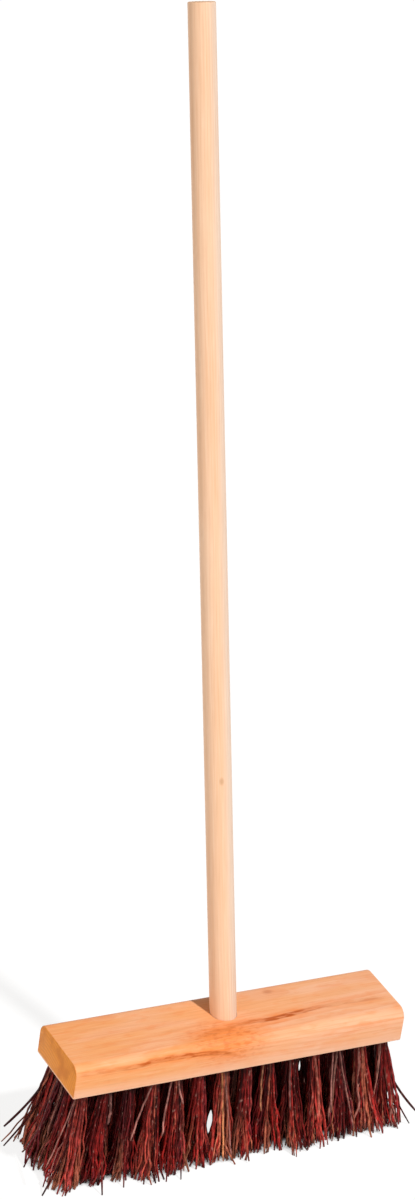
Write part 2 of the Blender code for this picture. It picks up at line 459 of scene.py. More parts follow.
# %% Drill the socket
SOCKET_GAP = 0.3 * MM
SOCKET_REACH = 90 * MM
STICK_SIDES = 64
only(None)
bpy.ops.mesh.primitive_cylinder_add(
    vertices=STICK_SIDES,
    radius=STICK_RADIUS + SOCKET_GAP,
    depth=SOCKET_REACH,
    location=STICK_FOOT + STICK_AXIS * (SOCKET_REACH / 2 - SOCKET_GAP),
    rotation=(-STICK_LEAN, 0, 0),
)
cut_out(head, bpy.context.object)
print("faces after the socket:", len(head.data.polygons))

# %% [markdown]
# ### Where the tufts are
# Each tuft leaves the underside at its root and meets the floor at its foot. Both could be worked out from
# a pitch and a fan, but the solids already hold them: the root is the middle of what lies inside the head,
# and the foot is the middle of what lies near the floor.

# %% Find the tufts' roots and feet
FOOT_ZONE = 6 * MM


def span_middle(points):
    return Vector((points.min(0) + points.max(0)) / 2)


def tuft_places(name):
    """Where a tuft leaves the head, and where its middle meets the floor."""
    points = np.array([v.co for v in frame["nodes"][name].data.vertices])
    root = span_middle(points[points[:, 2] > UNDERSIDE + MM])
    foot = span_middle(points[points[:, 2] < FOOT_ZONE])
    return Vector((root.x, root.y, UNDERSIDE)), Vector((foot.x, foot.y, 0.0))


PLACES = {name: tuft_places(name) for name in TUFT_NAMES}
print("first root:", in_mm(PLACES["tuft_front_01"][0]), "mm")

# %% [markdown]
# ### The drill bit
# A drill leaves a small bright rim where it breaks the surface. A countersink could be bevelled on all 56
# holes afterwards, but it is easier to grind the flare into the bit: its lower face is drawn out in two
# steps, first widening, then straight down and clear of the wood.

# %% Grind the drill bit
HOLE_RADIUS = 5.5 * MM
HOLE_DEPTH = 8 * MM
HOLE_SIDES = 20
RIM_FLARE = 0.35 * MM
BIT_OVERSHOOT = 2 * MM
only(None)
bpy.ops.mesh.primitive_cylinder_add(
    vertices=HOLE_SIDES,
    radius=HOLE_RADIUS,
    depth=HOLE_DEPTH - RIM_FLARE,
    location=(0, 0, (HOLE_DEPTH + RIM_FLARE) / 2),
)
drill = bpy.context.object
place_in_mesh(drill)
bpy.ops.object.mode_set(mode="EDIT")
print("lower faces:", pick("FACE", lambda face: face.normal.z < -0.5))
for drop, widening in ((RIM_FLARE, 1 + RIM_FLARE / HOLE_RADIUS), (BIT_OVERSHOOT, 1.0)):
    bpy.ops.mesh.extrude_region_move(TRANSFORM_OT_translate={"value": (0, 0, -drop)})
    bpy.ops.transform.resize(value=(widening, widening, 1.0))
bpy.ops.object.mode_set(mode="OBJECT")
print("drill bit:", len(drill.data.polygons), "faces")

# %% [markdown]
# ### The tuft holes
# The bit is copied to the root of every tuft. Cutting 56 times would be slow, so all the copies are joined
# and cut in one go. Only then is the head shaded, with its round edges soft and its hole rims crisp.

# %% Drill the tuft holes
CRISPEST_ROUND = math.radians(32)
bits = []
for name in TUFT_NAMES:
    bit = drill.copy()
    bit.data = drill.data.copy()
    bit.data.transform(Matrix.Translation(PLACES[name][0]))
    bpy.context.collection.objects.link(bit)
    bits.append(bit)
bpy.data.objects.remove(drill)
only(bits[0])
for bit in bits:
    bit.select_set(True)
bpy.ops.object.join()
cut_out(head, bits[0])
shade_round(head, CRISPEST_ROUND)
print("head:", len(head.data.vertices), "vertices,", len(head.data.polygons), "faces")

# %% [markdown]
# ## Wood as a solid
# Wood is a stack of year rings, so its pattern is made in three dimensions: the distance from a line that
# stands for the heart of the tree, bent a little by slow noise. Stripes then show on long faces and arcs on
# the ends, with no seam between them. A picture wrapped round the block would give neither.

# %% Helpers for any wood
RING_DARKENS = (0.30, 0.90)
RING_ENDS = (1.00, 0.93)
DARK_THREADS = (0.52, 0.72, 0.0, 0.32)
PALE_THREADS = (0.48, 0.30, 0.0, 0.32)
SQUARE_CUT = (0.45, 0.95)
GRAIN_DETAIL = 3.0


def from_line(tree, across, deep, line):
    """Distance from a straight line that runs along the piece."""
    to_side = calc(tree, "SUBTRACT", across, line[0])
    inwards = calc(tree, "SUBTRACT", deep, line[1])
    squares = calc(tree, "MULTIPLY_ADD", to_side, to_side, times(tree, inwards, inwards))
    return calc(tree, "SQRT", squares)


def year_rings(tree, radius, ring_width):
    """From 0 in soft early wood to 1 in the thin dark late wood of each ring."""
    share = calc(tree, "FRACT", calc(tree, "DIVIDE", radius, ring_width))
    return times(tree, fade(tree, share, *RING_DARKENS), fade(tree, share, *RING_ENDS))


def add_threads(tree, base, fibres, dark, pale):
    """Lay the fine dark and pale threads of the grain over the wood."""
    base = blend(tree, fade(tree, fibres, *DARK_THREADS), base, dark)
    return blend(tree, fade(tree, fibres, *PALE_THREADS), base, pale)


def end_on(tree, direction):
    """One on faces that are cut square to the grain, and zero on faces along it."""
    normal = add_node(tree, "ShaderNodeNewGeometry").outputs["Normal"]
    facing = vector_calc(tree, "DOT_PRODUCT", normal, direction)["Value"]
    return fade(tree, calc(tree, "ABSOLUTE", facing), *SQUARE_CUT)


print("wood helpers:", from_line.__name__, year_rings.__name__, add_threads.__name__, end_on.__name__)

# %% [markdown]
# ### Streaks
# The head has two dark threads that wander along the grain. A ring can't be steered, so each streak gets a
# path: a short list of places, turned into a smooth line by a curve node. The streak is darkest on that
# line.

# %% Helper for a streak in the grain
STREAK_FADE = 15 * MM


def streak(tree, along, across, path, half_width, flat):
    """One near the path, zero at half a width from it. A path is a list of places along and across."""
    first, last = path[0][0], path[-1][0]
    low = min(side for _, side in path)
    high = max(side for _, side in path)
    share = fade(tree, along, first, last, step="LINEAR")
    curve = add_node(tree, "ShaderNodeFloatCurve", {"Value": share})
    points = curve.mapping.curves[0].points
    shares = [((x - first) / (last - first), (side - low) / (high - low)) for x, side in path]
    points[0].location = shares[0]
    points[1].location = shares[-1]
    for place_on_curve in shares[1:-1]:
        points.new(*place_on_curve)
    curve.mapping.update()
    line = calc(tree, "MULTIPLY_ADD", curve.outputs[0], high - low, low)
    fade_in = fade(tree, along, first, first + STREAK_FADE)
    fade_out = fade(tree, along, last, last - STREAK_FADE)
    return times(tree, near(tree, across, line, half_width, flat), times(tree, fade_in, fade_out))


print("a streak fades in and out over", round(STREAK_FADE / MM), "mm")

# %% [markdown]
# ### The head's rings
# The heart line lies under the block and a little to its back, so that the front shows nearly straight
# stripes and the top broad bands, as a board cut from the side of a log does. Slow noise makes the rings
# drift, quick noise makes them ripple, and a swirl bends them round a knot that is buried under the front
# edge.

# %% Lay the head's rings
HEART_LINE = (22 * MM, 40 * MM)
HEAD_RING = 3.6 * MM
HEAD_DRIFT = (6, 16, 16)
HEAD_RIPPLE = (45, 90, 90)
HEAD_KNOT = Vector((-12 * MM, -27 * MM, 124 * MM))
KNOT_SQUEEZE = (0.55, 1.0, 1.0)
SWIRL_REACH = 20 * MM
DRIFT_PUSH, RIPPLE_PUSH, SWIRL_PUSH = 9 * MM, 1.2 * MM, 4 * MM
RING_SLANT = 0.025


def head_rings(tree, place):
    x, y, z = split(tree, place)
    drift = noise(tree, place, HEAD_DRIFT)
    ripple = noise(tree, place, HEAD_RIPPLE)
    swirl = fade(tree, distance(tree, place, HEAD_KNOT, KNOT_SQUEEZE), SWIRL_REACH, 0.0)
    radius = from_line(tree, y, z, HEART_LINE)
    for pattern, push in ((drift, DRIFT_PUSH), (ripple, RIPPLE_PUSH), (swirl, SWIRL_PUSH), (x, RING_SLANT)):
        radius = calc(tree, "MULTIPLY_ADD", pattern, push, radius)
    return year_rings(tree, radius, HEAD_RING)


print("rings:", round(HEAD_RING / MM, 1), "mm wide, knot at", in_mm(HEAD_KNOT), "mm")

# %% [markdown]
# ### The head's ground colour
# One flat colour would look like plastic. So two tones of early wood, a warm one and a pink one, lie in
# long clouds, and the right half is the pinker one. The late wood of the rings is laid over them, strong in
# some places and nearly gone in others. Round the buried knot the wood is a deeper, mottled orange.

# %% Mix the head's ground colour
WARM_WOOD = colour(0.90, 0.390, 0.150)
PINK_WOOD = colour(0.93, 0.490, 0.290)
LATE_WOOD = colour(0.82, 0.245, 0.070)
DEEP_ORANGE = colour(0.90, 0.258, 0.054)
FIGURE_BROWN = colour(0.74, 0.175, 0.036)
CLOUDS = dict(stretch=(9, 40, 40), start=0.38, end=0.62, high=0.65, detail=3.0)
MOTTLE = dict(stretch=(60, 150, 150), start=0.50, end=0.68, high=0.28, detail=3.0)
RING_PATCHES = dict(stretch=(8, 40, 40), start=0.38, end=0.70, low=0.05, high=0.50)
KNOT_FLECKS = dict(stretch=(150, 380, 380), start=0.48, end=0.62, high=0.70, detail=3.0)
PINKER_TO_THE_RIGHT = (-90 * MM, 120 * MM, 0.0, 0.40)
FIGURE_FADE = (32 * MM, 6 * MM)
FIGURE_STRENGTH = 0.85


def head_ground(tree, place, rings):
    clouds = patches(tree, place, **CLOUDS)
    towards_right = fade(tree, split(tree, place)[0], *PINKER_TO_THE_RIGHT)
    base = blend(tree, calc(tree, "ADD", clouds, towards_right), WARM_WOOD, PINK_WOOD)
    base = blend(tree, patches(tree, place, **MOTTLE), base, DEEP_ORANGE)
    return blend(tree, times(tree, rings, patches(tree, place, **RING_PATCHES)), base, LATE_WOOD)


def add_figure(tree, place, base):
    """The mottled orange wood round the buried knot."""
    figure = fade(tree, distance(tree, place, HEAD_KNOT, KNOT_SQUEEZE), *FIGURE_FADE)
    base = blend(tree, times(tree, figure, FIGURE_STRENGTH), base, DEEP_ORANGE)
    return blend(tree, times(tree, figure, patches(tree, place, **KNOT_FLECKS)), base, FIGURE_BROWN)


print("ground colours:", WARM_WOOD[:3], PINK_WOOD[:3])

# %% [markdown]
# ### The head's two streaks
# One streak runs over the top, past the front of the stick and on to the right. The other runs along the
# front's round edge and curves down below the stick. Each has a soft orange halo and a brown core. Both lie
# only on their own side of the block, and they are darkest at a few spots, as resin streaks are.

# %% Lay the head's streaks
STREAK_BROWN = colour(0.48, 0.090, 0.010)
TOP_STREAK = [(x * MM, y * MM) for x, y in (
    (-40, -21), (-10, -18.8), (10, -14.2), (34, -15.4), (60, -13.2), (105, -10.4), (128, -11), (158, -14),
)]
FRONT_STREAK = [(x * MM, z * MM) for x, z in (
    (-166, 120.5), (-138, 119.8), (-100, 118.7), (-88, 120.4), (-45, 119.6), (-17, 115.6), (-4, 108),
)]
TOP_SPOTS = ((28, 26, 0.24), (56, 44, 0.66))
FRONT_SPOTS = ((-90, 34, 0.42), (-58, 56, 0.58), (-29, 8, 0.26), (-15, 9, 0.40))
FAINTEST = 0.28
TOP_WIDTHS = (12 * MM, 3.9 * MM)
FRONT_WIDTHS = (8 * MM, 2.9 * MM)
CORE_FLATNESS = 0.45
STREAK_BREAKS = dict(stretch=(75, 420, 420), start=0.38, end=0.58, low=0.45, high=1.1, detail=3.0)
ON_TOP = (119 * MM, 124 * MM)
ON_FRONT = (-27 * MM, -31 * MM)


def darkness(tree, x, spots):
    """How dark a streak is along its length: faint, with darker spots. Places and reaches are in mm."""
    level = FAINTEST
    for spot, reach, gain in spots:
        level = calc(tree, "MULTIPLY_ADD", near(tree, x, spot * MM, reach * MM), gain, level)
    return calc(tree, "MINIMUM", level, 1.0)


def add_streak(tree, base, along, across, path, widths, strength):
    """Lay one streak over the wood: a soft halo first, then its core."""
    for half_width, flat, tone in zip(widths, (0.0, CORE_FLATNESS), (DEEP_ORANGE, STREAK_BROWN)):
        level = times(tree, streak(tree, along, across, path, half_width, flat), strength)
        base = blend(tree, level, base, tone)
    return base


def add_head_streaks(tree, place, base):
    x, y, z = split(tree, place)
    broken = patches(tree, place, **STREAK_BREAKS)
    for across, path, widths, spots, outwards, own_side in (
        (y, TOP_STREAK, TOP_WIDTHS, TOP_SPOTS, z, ON_TOP),
        (z, FRONT_STREAK, FRONT_WIDTHS, FRONT_SPOTS, y, ON_FRONT),
    ):
        strength = times(tree, fade(tree, outwards, *own_side), broken)
        strength = times(tree, strength, darkness(tree, x, spots))
        base = add_streak(tree, base, x, across, path, widths, strength)
    return base


print("streak points:", len(TOP_STREAK), "on top,", len(FRONT_STREAK), "on the front")

# %% [markdown]
# ### The head's ends and edges
# On the end faces the cut ends of the fibres drink in more oil, so they look ochre and show dark pores. A
# second material could cover those faces, but the way that a face looks tells the same, and it changes
# softly over the eased rims. Low on the long faces the wood is worn paler, and the lower edges, eased by
# sandpaper, get a painted highlight where they catch the light. A small dark speck lies near the back of
# the top.

# %% Mix the head's ends and edges
OCHRE = colour(0.92, 0.330, 0.038)
DEEP_OCHRE = colour(0.69, 0.200, 0.019)
PORE_BROWN = colour(0.45, 0.15, 0.04)
WORN_WOOD_AND_HIGHLIGHT = colour(0.96, 0.575, 0.400)
PORES = dict(stretch=(120, 1500, 1500), start=0.5, end=0.8, high=0.4)
BLOTCHES = dict(stretch=(20, 60, 60), start=0.40, end=0.66, high=0.8)
RINGS_ON_ENDS = 0.5
SPECK = Vector((54 * MM, 24 * MM, 127 * MM))
SPECK_SQUEEZE = (0.6, 1.0, 1.0)
SPECK_FADE = (4.5 * MM, 0.8 * MM, 0.0, 0.40)
# A worn paler band low on the long faces, and a painted highlight along the eased lower edges.
WORN = (UNDERSIDE + 14 * MM, UNDERSIDE + 3 * MM, 0.0, 0.48)
EDGE_HIGHLIGHT = (UNDERSIDE + 3.0 * MM, UNDERSIDE + 1.5 * MM, 0.0, 0.75)
HEAD_GRAIN_RUNS = (1, 0, 0)


def add_end_grain(tree, place, base, rings):
    blotches = patches(tree, place, **BLOTCHES)
    darker = calc(tree, "MAXIMUM", times(tree, rings, RINGS_ON_ENDS), blotches)
    ochre = blend(tree, darker, OCHRE, DEEP_OCHRE)
    ochre = blend(tree, patches(tree, place, **PORES), ochre, PORE_BROWN)
    return blend(tree, end_on(tree, HEAD_GRAIN_RUNS), base, ochre)


def add_edges(tree, place, base):
    """The speck, the worn paler wood low on the long faces, and a painted highlight on the eased lower
    edges.
    """
    speck = distance(tree, place, SPECK, SPECK_SQUEEZE)
    base = blend(tree, fade(tree, speck, *SPECK_FADE), base, STREAK_BROWN)
    z = split(tree, place)[2]
    on_long_faces = calc(tree, "SUBTRACT", 1.0, end_on(tree, HEAD_GRAIN_RUNS))
    worn = times(tree, fade(tree, z, *WORN), on_long_faces)
    # Worn paler wood, and the painted highlight along the eased lower edges.
    return blend(tree, calc(tree, "MAXIMUM", worn, fade(tree, z, *EDGE_HIGHLIGHT)), base, WORN_WOOD_AND_HIGHLIGHT)


# The edge colour is worn wood together with a painted highlight.
print("end grain:", OCHRE[:3], "sanded edges:", WORN_WOOD_AND_HIGHLIGHT[:3])

# %% [markdown]
# ### The whole finish of the head
# The layers go on in order, from the ground colour to the edges. Sanded wood under thin oil has a low sheen
# that is duller along the open threads, and a relief too fine to model, which bump can give.

# %% Put the head's finish together
HEAD_GLOSS = 0.25
HEAD_GRAIN = (28, 900, 900)
HEAD_THREADS = (colour(0.70, 0.27, 0.10), colour(0.95, 0.56, 0.34))
WOOD_ROUGHNESS = 0.46
THREAD_ROUGHNESS = 0.16
RING_RELIEF = -0.4
BUMP = {"Strength": 0.22, "Distance": 0.2 * MM}


def finish_wood(tree, shader, base, fibres, rings, gloss):
    """Wire a wood's colour, and make its roughness and relief from its threads and rings."""
    tree.links.new(base, shader.inputs["Base Color"])
    roughness = calc(tree, "MULTIPLY_ADD", fibres, THREAD_ROUGHNESS, WOOD_ROUGHNESS)
    tree.links.new(roughness, shader.inputs["Roughness"])
    shader.inputs["Specular IOR Level"].default_value = gloss
    relief = calc(tree, "MULTIPLY_ADD", rings, RING_RELIEF, fibres)
    bump = add_node(tree, "ShaderNodeBump", {"Height": relief, **BUMP})
    tree.links.new(bump.outputs[0], shader.inputs["Normal"])


def mix_head_wood():
    material, tree, shader, place = new_finish("head_wood")
    rings = head_rings(tree, place)
    fibres = noise(tree, place, HEAD_GRAIN, GRAIN_DETAIL)
    base = head_ground(tree, place, rings)
    base = add_figure(tree, place, base)
    base = add_threads(tree, base, fibres, *HEAD_THREADS)
    base = add_head_streaks(tree, place, base)
    base = add_end_grain(tree, place, base, rings)
    base = add_edges(tree, place, base)
    finish_wood(tree, shader, base, fibres, rings, HEAD_GLOSS)
    return material


head_wood = mix_head_wood()
join_frame(head, "head_block", head_wood)
print("head finish:", len(head_wood.node_tree.nodes), "nodes")

# %% [markdown]
# ## The stick
# A broom stick is a dowel that is turned from one straight billet. A cylinder stands for the raw dowel,
# both its rims are eased with a small round bevel as a belt sander would do it, and the whole is then laid
# along its slant.

# %% Turn the stick
STICK_RIM = 1.0 * MM
only(None)
bpy.ops.mesh.primitive_cylinder_add(
    vertices=STICK_SIDES, radius=STICK_RADIUS, depth=STICK_LENGTH, location=(0, 0, STICK_LENGTH / 2),
)
stick = bpy.context.object
stick.name = "broom_stick"
place_in_mesh(stick)
bpy.ops.object.mode_set(mode="EDIT")
ease_edges("rim edges:", lambda a, b: abs(a.z - b.z) < MM, STICK_RIM, segments=4)
bpy.ops.object.mode_set(mode="OBJECT")
stick.rotation_euler.x = -STICK_LEAN
stick.location = STICK_FOOT
place_in_mesh(stick)
shade_round(stick, CRISPEST_ROUND)
print("stick top:", round(max(v.co.z for v in stick.data.vertices), 4), "m")

# %% [markdown]
# ### The stick's grain
# The stick is cut from a paler wood with closer rings. Its pattern has to follow its own slant, so a
# Mapping node first turns each place back to where it was on the upright dowel. Then the same layers are
# laid as on the head, and the side that faces the key light gets a pale painted sheen.

# %% Mix the stick's ground colour
STICK_RING = 2.6 * MM
STICK_HEART = (30 * MM, -14 * MM)
STICK_PALE = colour(0.89, 0.550, 0.340)
STICK_PEACH = colour(0.91, 0.595, 0.390)
STICK_PAINTED_SHEEN = colour(0.83, 0.640, 0.510)
STICK_LATE = colour(0.76, 0.385, 0.20)
STICK_DRIFT = (30, 30, 4)
STICK_DRIFT_PUSH = 5 * MM
STICK_CLOUDS = dict(stretch=(60, 60, 5), start=0.38, end=0.62, detail=3.0)
STICK_RING_PATCHES = dict(stretch=(40, 40, 6), start=0.35, end=0.70, low=0.06, high=0.34)
PAINTED_SHEEN_SIDE = (33 * MM, 24 * MM, 0.0, 0.95)


def on_upright_dowel(tree, place):
    """The place of each point on the stick before it was leant over."""
    sockets = {"Vector": place, "Location": STICK_FOOT, "Rotation": (-STICK_LEAN, 0, 0)}
    return add_node(tree, "ShaderNodeMapping", sockets, vector_type="TEXTURE").outputs[0]


def from_stick_heart(tree, own):
    x, y = split(tree, own)[:2]
    return from_line(tree, x, y, STICK_HEART)


def stick_rings(tree, own):
    drift = noise(tree, own, STICK_DRIFT)
    radius = calc(tree, "MULTIPLY_ADD", drift, STICK_DRIFT_PUSH, from_stick_heart(tree, own))
    return year_rings(tree, radius, STICK_RING)


def stick_ground(tree, own, rings):
    base = blend(tree, patches(tree, own, **STICK_CLOUDS), STICK_PALE, STICK_PEACH)
    # A painted sheen on the side that faces the key light.
    base = blend(tree, fade(tree, from_stick_heart(tree, own), *PAINTED_SHEEN_SIDE), base, STICK_PAINTED_SHEEN)
    return blend(tree, times(tree, rings, patches(tree, own, **STICK_RING_PATCHES)), base, STICK_LATE)


print("stick rings:", round(STICK_RING / MM, 1), "mm wide")

# %% [markdown]
# ### The stick's knot and top
# A plain stick still has one tiny knot low on its side, which is a soft brown dot here, and its sawn top
# shows the rings as arcs. Both are small, and both tell the eye that this is wood and not painted metal.

# %% Put the stick's finish together
STICK_GLOSS = 0.50
STICK_GRAIN = (1000, 1000, 22)
STICK_THREADS = (colour(0.74, 0.42, 0.24), colour(0.97, 0.73, 0.55))
KNOT_BROWN = colour(0.55, 0.27, 0.12)
KNOT_HEIGHT = 231 * MM
KNOT_TURN = math.radians(-103)
STICK_KNOT = Vector((STICK_RADIUS * math.cos(KNOT_TURN), STICK_RADIUS * math.sin(KNOT_TURN), KNOT_HEIGHT))
STICK_KNOT_SQUEEZE = (1.0, 1.0, 0.6)
STICK_KNOT_FADE = (3.0 * MM, 0.6 * MM, 0.0, 0.55)
SAWN_TONES = (colour(0.80, 0.50, 0.29), colour(0.60, 0.32, 0.15))


def mix_stick_wood():
    material, tree, shader, place = new_finish("stick_wood")
    own = on_upright_dowel(tree, place)
    rings = stick_rings(tree, own)
    fibres = noise(tree, own, STICK_GRAIN, GRAIN_DETAIL)
    base = stick_ground(tree, own, rings)
    base = add_threads(tree, base, fibres, *STICK_THREADS)
    knot = fade(tree, distance(tree, own, STICK_KNOT, STICK_KNOT_SQUEEZE), *STICK_KNOT_FADE)
    base = blend(tree, knot, base, KNOT_BROWN)
    base = blend(tree, end_on(tree, STICK_AXIS), base, blend(tree, rings, *SAWN_TONES))
    finish_wood(tree, shader, base, fibres, rings, STICK_GLOSS)
    return material


stick_wood = mix_stick_wood()
join_frame(stick, "handle", stick_wood)
print("stick finish:", len(stick_wood.node_tree.nodes), "nodes")

# %% [markdown]
# ## The model fibre
# There are thousands of fibres, so each may only have a few dozen faces. Hair curves would be lighter
# still, but they have no surface of their own to keep. So one straight fibre is modelled: a small square
# that is drawn out in eleven equal steps, pinched at its root and thinner at its tip. Every fibre on the
# broom is a bent copy of this one, and smooth shading makes its four sides look round.

# %% Model one fibre
FIBRE_STEPS = 11
ROOT_NARROWING = 0.7
TIP_NARROWING = 0.75
only(None)
bpy.ops.mesh.primitive_circle_add(vertices=4, radius=ROOT_NARROWING, fill_type="NGON")
model_fibre = bpy.context.object
bpy.ops.object.mode_set(mode="EDIT")
bpy.ops.mesh.select_mode(type="FACE")
bpy.ops.mesh.select_all(action="SELECT")
for step in range(FIBRE_STEPS):
    bpy.ops.mesh.extrude_region_move(TRANSFORM_OT_translate={"value": (0, 0, -1 / FIBRE_STEPS)})
    change = {0: 1 / ROOT_NARROWING, FIBRE_STEPS - 1: TIP_NARROWING}.get(step, 1.0)
    bpy.ops.transform.resize(value=(change, change, 1.0))
bpy.ops.mesh.select_all(action="SELECT")
bpy.ops.mesh.normals_make_consistent(inside=False)
bpy.ops.object.mode_set(mode="OBJECT")
FIBRE_POINTS = np.array([v.co for v in model_fibre.data.vertices])
FIBRE_FACES = [list(face.vertices) for face in model_fibre.data.polygons]
FIBRE_SHARE = -FIBRE_POINTS[:, 2]
FIBRE_RING = np.round(FIBRE_SHARE * FIBRE_STEPS).astype(int)
bpy.data.objects.remove(model_fibre)
print("one fibre:", len(FIBRE_POINTS), "points,", len(FIBRE_FACES), "faces")

# %% [markdown]
# ### A fibre's path
# A fibre's path runs from its root towards the middle of the tuft's foot, and spreads away from there, at
# first slowly and then faster, so a tuft stays slim under the head. A bow bends its middle, and two slow
# waves sway it: one of its own, and one that it shares with its neighbours. Plant fibre is also kinked, so
# each ring of points gets a small push of its own. All of these grow from nothing at the root, so a tuft is
# tidy under the head and untidy near the floor.

# %% Helpers for a fibre's path
SPREAD_EASE = 1.5


def sway(share, size, turns, start):
    """A slow wave that starts at nothing and grows towards the tip."""
    start = start[:, None, None]
    turn = math.tau * turns[:, None, None] * share + start
    return size[:, None] * (np.sin(turn) - np.sin(start)) * share * share


def fibre_path(share, fibres):
    """The middle of each fibre at a share of its length, for all fibres and all shares at once."""
    share = np.clip(share, 0, None)[None, :, None]
    path = fibres["root"][:, None] * (1 - share) + fibres["foot"][:, None] * share
    path = path + fibres["spread"][:, None] * share ** SPREAD_EASE
    path = path + fibres["bow"][:, None] * np.sin(math.pi * share)
    path = path + sway(share, fibres["own_sway"], fibres["own_turns"], fibres["own_start"])
    return path + sway(share, fibres["lock_sway"], fibres["lock_turns"], fibres["lock_start"])


print("a fibre is followed at", FIBRE_RING.max() + 1, "shares of its length")

# %% [markdown]
# ### Partings
# In two places daylight shows through the tufts, because some fibres have been pushed apart. With fewer
# fibres a tuft would look thin all over, so a parting moves them instead: it is an oval tunnel along the
# line of sight, and each fibre in it is pushed to the side on which it already is.

# %% Helper that parts the fibres
PARTINGS = [
    ((-22, -36, 42.5), 3.5, 14),
    ((61.5, -36, 86.5), 2.4, 7),
]


def part(middle):
    """Clear each tunnel, given by a place on it, its half width and its half height in millimetres."""
    for place, half_width, half_height in PARTINGS:
        start = np.array(place) * MM
        ahead = start - np.array(CAMERA_PLACE)
        ahead /= np.linalg.norm(ahead)
        side = np.cross(ahead, (0, 0, 1))
        side /= np.linalg.norm(side)
        aside = (middle - start) @ side
        above = (middle - start) @ np.cross(side, ahead)
        nearest = np.abs(above).argmin(1)[:, None]
        way = np.sign(np.take_along_axis(aside, nearest, 1))
        cleared = np.maximum(aside * way, half_width * MM) * way
        weight = np.exp(-(above / (half_height * MM)) ** 2)
        middle = middle + (weight * (cleared - aside))[:, :, None] * side
    return middle


print("partings:", len(PARTINGS))

# %% [markdown]
# ### Bending the copies
# A curve modifier could bend one fibre at a time. Thousands are bent faster as arrays of numbers, all at
# once: at each point of the model fibre the path gives a middle and a direction, and the fibre's section is
# laid square to that direction. Where a tip would poke into the floor it is cut flat, as the maker's
# trimmer does.

# %% Helper that bends copies of the model fibre
FLOOR_GAP = 0.1 * MM
LOOK_ALONG = 0.01


def bend_copies(fibres):
    """All points of all fibres."""
    middle = fibre_path(FIBRE_SHARE, fibres)
    middle = part(middle + fibres["kinks"][:, FIBRE_RING] * np.sqrt(FIBRE_SHARE)[None, :, None])
    ahead = fibre_path(FIBRE_SHARE + LOOK_ALONG, fibres) - fibre_path(FIBRE_SHARE - LOOK_ALONG, fibres)
    ahead /= np.linalg.norm(ahead, axis=2, keepdims=True)
    side = np.cross(ahead, (0.0, 1.0, 0.0))
    side /= np.linalg.norm(side, axis=2, keepdims=True)
    other = np.cross(ahead, side)
    cos = np.cos(fibres["twist"])[:, None]
    sin = np.sin(fibres["twist"])[:, None]
    radius = fibres["radius"][:, None]
    across = (FIBRE_POINTS[:, 0] * cos - FIBRE_POINTS[:, 1] * sin) * radius
    deep = (FIBRE_POINTS[:, 0] * sin + FIBRE_POINTS[:, 1] * cos) * radius
    points = middle + across[:, :, None] * side - deep[:, :, None] * other
    points[:, :, 2] = np.maximum(points[:, :, 2], FLOOR_GAP)
    return points


print("tips are cut", round(FLOOR_GAP / MM, 1), "mm above the floor")

# %% [markdown]
# ## The tones of the fibres
# The fibres are dyed plant stalks, and no two take the dye alike: most are dark red, some nearly black,
# some bright red, and a few stayed rusty or pale. One material can serve them all if each fibre carries its
# own tone. A mix gives how often each tone comes up, and a few tufts have a mix of their own. The two inner
# rows get the dark mix as painted shade, as they stand in the shadow of the outer rows.

# %% Choose the tones of the fibres
TONES = {
    "black": (0.028, 0.001, 0.001),
    "maroon": (0.090, 0.005, 0.005),
    "plum": (0.140, 0.015, 0.020),
    "oxblood": (0.230, 0.013, 0.011),
    "red": (0.340, 0.046, 0.034),
    "rust": (0.420, 0.125, 0.070),
    "pale": (0.440, 0.190, 0.150),
}
TONE_COLOURS = np.array(list(TONES.values()))
USUAL_MIX = (0.20, 0.24, 0.14, 0.24, 0.11, 0.03, 0.04)
DARK_MIX = (0.34, 0.28, 0.16, 0.14, 0.04, 0.01, 0.03)
DARKEST_MIX = (0.40, 0.34, 0.14, 0.12, 0.00, 0.00, 0.00)
DEEP_RED_MIX = (0.12, 0.20, 0.10, 0.38, 0.16, 0.02, 0.02)
BRIGHT_MIX = (0.10, 0.16, 0.10, 0.24, 0.28, 0.07, 0.05)
RUSTY_MIX = (0.14, 0.18, 0.08, 0.20, 0.16, 0.17, 0.07)
TUFT_MIX = {
    "tuft_front_01": BRIGHT_MIX,
    "tuft_front_02": DARKEST_MIX,
    "tuft_front_03": DARK_MIX,
    "tuft_front_04": BRIGHT_MIX,
    "tuft_front_05": DEEP_RED_MIX,
    "tuft_front_06": DEEP_RED_MIX,
    "tuft_front_07": RUSTY_MIX,
    "tuft_front_10": DARKEST_MIX,
    "tuft_front_11": BRIGHT_MIX,
    "tuft_front_12": DARK_MIX,
    "tuft_front_13": RUSTY_MIX,
}


def tone_mix(name):
    """The mix of a tuft. The two inner rows get the dark mix, which is painted shade."""
    # Inner rows: the dark mix stands for painted shade.
    return TUFT_MIX.get(name, DARK_MIX if "mid" in name else USUAL_MIX)


print("tones:", ", ".join(TONES))

# %% [markdown]
# ## Locks
# A tuft is a pinch of fibres folded into its hole. It leaves the hole tight and fans out, but not evenly:
# the fibres cling together in locks of about four, which give the tuft its ragged foot. What the fibres of
# a lock share is drawn first, once for each lock.

# %% Plan a tuft's locks
LOCKS_PER_TUFT = 14
LOCK_LEAN = 2.4 * MM
LOCK_LIFT = 1.6 * MM
LOCK_SWAY = 1.9 * MM
LOCK_TURNS = (0.6, 1.4)
DRY_TIPS = 0.35
DRY_TIPS_AT_END = 0.75
DRYNESS = (0.3, 1.0)
GOLDEN_TURN = math.pi * (3 - math.sqrt(5))


def sunflower(count, turn):
    """Places spread evenly over a disc of radius one."""
    index = np.arange(count)
    radius = np.sqrt((index + 0.5) / count)
    angle = index * GOLDEN_TURN + turn
    return np.stack([radius * np.cos(angle), radius * np.sin(angle)], 1)


def level(pairs):
    """Add a height of nothing to pairs of X and Y."""
    return np.concatenate([pairs, np.zeros((len(pairs), 1))], 1)


def draw_tones(rng, count, mix):
    return TONE_COLOURS[rng.choice(len(TONES), count, p=mix)]


def dry_share(name):
    """The share of a tuft's locks that have dry tips. The worn left end has the most."""
    return DRY_TIPS_AT_END if name.endswith("_01") else DRY_TIPS


